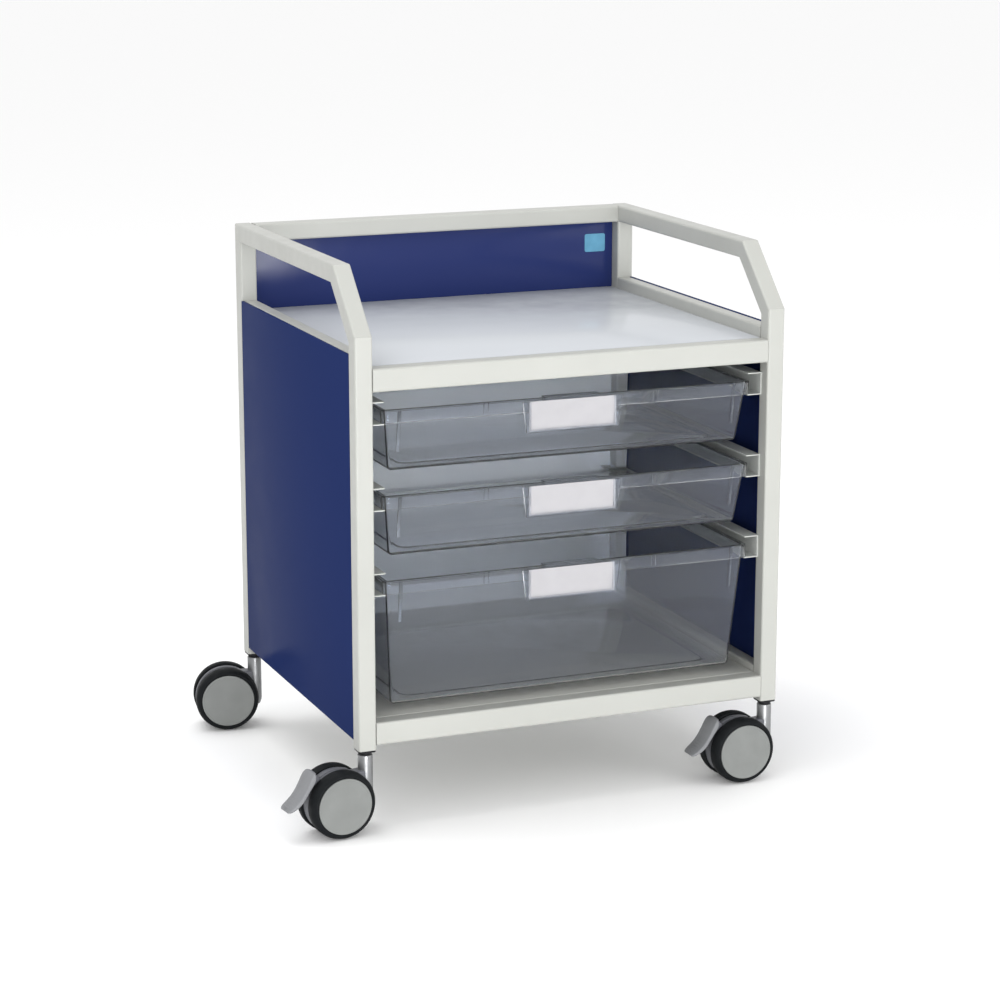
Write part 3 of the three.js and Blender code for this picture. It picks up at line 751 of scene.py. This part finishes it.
def hood(place, trail, axle_z, braked):
    """The moulded web between the wheels: a rounded fender, and a raised spine along it."""
    centre = (trail, axle_z)
    outline = [(2.8 * MM, 68 * MM), (-2.8 * MM, 66 * MM), (-2.8 * MM, 27 * MM), (0, 18 * MM)]
    outline += [(8 * MM, 13.5 * MM)]
    outline += arc(centre, FENDER_RADIUS, -40, 122, 30)
    shells = [prism(outline, -HOUSING_HALF, HOUSING_HALF, WEB_EDGE, place, 4)]
    start = 56 if braked else -20
    spine = arc(centre, FENDER_RADIUS + 0.9 * MM, start, 112, 22)
    spine += list(reversed(arc(centre, FENDER_RADIUS - 2 * MM, start, 112, 22)))
    shells.append(prism(spine, -SPINE_HALF, SPINE_HALF, 0.8 * MM, place, 3))
    if braked:
        along = Vector((math.cos(PIVOT_ANGLE), math.sin(PIVOT_ANGLE)))
        across = Vector((-along.y, along.x))
        pivot = Vector(centre) + along * PIVOT_REACH
        root = Vector(centre) + along * (FENDER_RADIUS - 5 * MM)
        head = arc(pivot, EAR_RADIUS, -42, 138, 12)
        ear = [*head, tuple(root + across * EAR_RADIUS), tuple(root - across * EAR_RADIUS)]
        for side in (-1, 1):
            low, high = sorted((side * EAR_INNER, side * (HOUSING_HALF - 0.1 * MM)))
            shells.append(prism(ear, low, high, 0.6 * MM, place, 2))
        pin = arc(pivot, PIN_RADIUS, 0, 337.5, 15)
        shells.append(prism(pin, -PIN_HALF, PIN_HALF, 0.2 * MM, place, 1))
    return join(*shells)


def neck(place):
    """The steel sleeve round the stem."""
    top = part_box("front_left_castor_housing")[1].z
    profile = [
        (STEM_RADIUS, NECK_FOOT),
        (NECK_RADIUS - 2.2 * MM, NECK_FOOT),
        (NECK_RADIUS - 0.3 * MM, NECK_FOOT + 5 * MM),
        (NECK_RADIUS, NECK_FOOT + 8 * MM),
        (NECK_RADIUS, top - 0.9 * MM),
        (NECK_RADIUS - 0.3 * MM, top - 0.3 * MM),
        (NECK_RADIUS - 0.9 * MM, top),
        (STEM_RADIUS, top),
    ]
    upright = place @ Matrix.Rotation(math.radians(90), 4, "X")
    return lathe(profile, upright, 64)


def smooth_through(points, steps):
    """Points on a smooth curve through the given ones."""
    ends = [2 * points[0] - points[1], *points, 2 * points[-1] - points[-2]]
    curve = []
    for i in range(len(points) - 1):
        a, b, c, d = ends[i : i + 4]
        for step in range(steps):
            t = step / steps
            curve.append(
                0.5
                * (2 * b + (c - a) * t + (2 * a - 5 * b + 4 * c - d) * t**2)
                + 0.5 * (3 * b - a - 3 * c + d) * t**3
            )
    return curve + [points[-1]]


def pedal(place, trail, axle_z):
    """A curved shell from the pivot to a flared toe, with side flanges and grip ribs."""
    # Along the pedal: out, up, flange depth and half width, from the axle.
    stations = [
        (27.2, 37.4, 1.2, 8.6),
        (29.4, 37.2, 2.6, 11.4),
        (32.6, 34.6, 4.6, 12.8),
        (36.0, 29.2, 5.4, 13.0),
        (39.2, 23.0, 4.4, 13.0),
        (42.8, 16.8, 3.9, 13.0),
        (47.2, 11.0, 4.1, 13.0),
        (52.4, 6.0, 3.9, 12.9),
        (57.4, 2.2, 3.2, 12.2),
        (60.0, 0.2, 2.4, 10.8),
        (61.3, -1.0, 1.6, 8.2),
    ]
    curve = smooth_through([Vector(station) for station in stations], 6)
    skin = 1.7
    rings = []
    for i, station in enumerate(curve):
        here = Vector((station[0], station[1]))
        before, after = curve[max(i - 1, 0)], curve[min(i + 1, len(curve) - 1)]
        along = Vector((after[0] - before[0], after[1] - before[1])).normalized()
        inward = Vector((along.y, -along.x))
        if inward.dot(here) > 0:
            inward = -inward
        deep, width = max(station[2], skin + 0.1), station[3]
        grip = 0.45 if 36 <= i <= 54 and i % 3 == 0 else 0.0
        outer = [(-1.0, 2.0), (-0.985, 1.0), (-0.93, 0.3), (-0.82, 0.0)]
        section = [(-width, deep)]
        section += [(share * width, min(fall, deep * 0.8)) for share, fall in outer]
        section += [(-0.5 * width, -0.25 - grip), (0.0, -0.35 - grip), (0.5 * width, -0.25 - grip)]
        section += [(-share * width, min(fall, deep * 0.8)) for share, fall in reversed(outer)]
        section += [(width, deep), (width - skin, deep), (width - skin - 0.3, skin * 0.95)]
        section += [(0.0, skin * 0.8), (-width + skin + 0.3, skin * 0.95), (-width + skin, deep)]
        ring = []
        for y, fall in section:
            point = here + inward * fall
            ring.append((trail + point.x * MM, y * MM, axle_z + point.y * MM))
        rings.append(ring)
    return loft(rings, place=place)


def plug(castor):
    """The black plug's square flange under the post, and the round boss below it."""
    low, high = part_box(f"{castor}_castor_plug")
    centre = (low + high) / 2
    half = (high.x - low.x) / 2
    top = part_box(f"{castor}_post")[0].z - COLLAR_GAP
    foot = top - COLLAR_HEIGHT
    collar = []
    for inset, z in ((0.9, foot), (0.25, foot + 0.3 * MM), (0.0, foot + 0.9 * MM), (0.0, top)):
        outline = rounded_rectangle(half - inset * MM, half - inset * MM, COLLAR_CORNER)
        collar.append([(centre.x + x, centre.y + y, z) for x, y in outline])
    boss = []
    soft = 0.5 * MM
    for radius, z in (
        (BOSS_RADIUS - soft, foot - BOSS_HEIGHT),
        (BOSS_RADIUS, foot - BOSS_HEIGHT + soft),
        (BOSS_RADIUS, foot + soft),
    ):
        turn = [2 * math.pi * step / 48 for step in range(48)]
        boss.append(
            [(centre.x + radius * math.cos(a), centre.y + radius * math.sin(a), z) for a in turn]
        )
    return join(loft(collar), loft(boss))


def castors():
    for castor in CASTORS:
        place, trail, axle_z = castor_place(castor)
        axle = Vector((trail, 0.0, axle_z))
        body = f"{castor}_castor"
        braked = castor in BRAKED
        housing = [f"{castor}_castor_housing"]
        shell = hood(place, trail, axle_z, braked)
        piece(f"{castor}_hood", shell, HOOD, body, housing)
        piece(f"{castor}_neck", neck(place), METAL, body)
        plugs = [f"{castor}_castor_plug"]
        piece(f"{castor}_collar", plug(castor), PLUG, "cabinet", plugs)
        for letter, side in WHEELS:
            wheel = f"{castor}_wheel_{letter}"
            tyres, hubs = [f"{castor}_tyre_{letter}"], [f"{castor}_hub_{letter}"]
            piece(f"{wheel}_tread", tyre(place, axle, side), TYRE, wheel, tyres)
            piece(f"{wheel}_disc", disc(place, axle, side), DISC, wheel, hubs)
        if braked:
            lever = pedal(place, trail, axle_z)
            levers = [f"{castor}_brake_pedal"]
            piece(f"{castor}_lever", lever, PEDAL, f"{castor}_pedal", levers)


# ------------------------------------------------------------------ studio


def studio():
    """A pale floor, soft lights and the camera."""
    scene = bpy.context.scene
    scene.view_settings.view_transform = "Standard"
    floor_mesh = bpy.data.meshes.new("studio_floor")
    reach = 60.0
    corners = [(-reach, -reach, 0), (reach, -reach, 0), (reach, reach, 0), (-reach, reach, 0)]
    floor_mesh.from_pydata(corners, [], [(0, 1, 2, 3)])
    floor = bpy.data.objects.new("studio_floor", floor_mesh)
    scene.collection.objects.link(floor)
    floor_mesh.materials.append(Nodes("studio_white", (0.95, 0.95, 0.95), 0.9).material)

    world = bpy.data.worlds.new("studio")
    world.use_nodes = True
    background = world.node_tree.nodes["Background"]
    background.inputs["Color"].default_value = (1.0, 1.0, 1.0, 1.0)
    background.inputs["Strength"].default_value = 1.0
    scene.world = world

    aim = (cad_low + cad_high) / 2
    # Each light: its place and size in metres, and its power in watts.
    for name, spot, size, power in (
        ("key", (-2.6, -2.8, 2.6), 2.0, 10.0),
        ("fill", (2.8, -3.2, 1.6), 2.2, 20.0),
        ("front", (-0.4, -3.6, 0.5), 1.3, 80.0),
        ("top", (-0.9, 0.4, 3.3), 2.4, 36.0),
    ):
        light = bpy.data.lights.new(name, "AREA")
        light.shape = "DISK"
        light.size = size
        light.energy = power
        lamp = bpy.data.objects.new(name, light)
        lamp.location = spot
        lamp.rotation_euler = (aim - Vector(spot)).to_track_quat("-Z", "Y").to_euler()
        scene.collection.objects.link(lamp)

    camera = bpy.data.objects.new("camera", bpy.data.cameras.new("camera"))
    scene.collection.objects.link(camera)
    azimuth, elevation = math.radians(-22.2), math.radians(13.3)
    distance = 3.206
    aside = Vector((0.0095, 0.0, -0.004))
    camera.data.sensor_width = 36.0
    camera.data.lens = 100.3
    back = Vector(
        (
            math.sin(azimuth) * math.cos(elevation),
            -math.cos(azimuth) * math.cos(elevation),
            math.sin(elevation),
        )
    )
    camera.location = aim + aside + back * distance
    camera.rotation_euler = (-back).to_track_quat("-Z", "Y").to_euler()
    scene.camera = camera


frame_finish()
weld_beads()
boards()
sticker()
drawers()
castors()
studio()
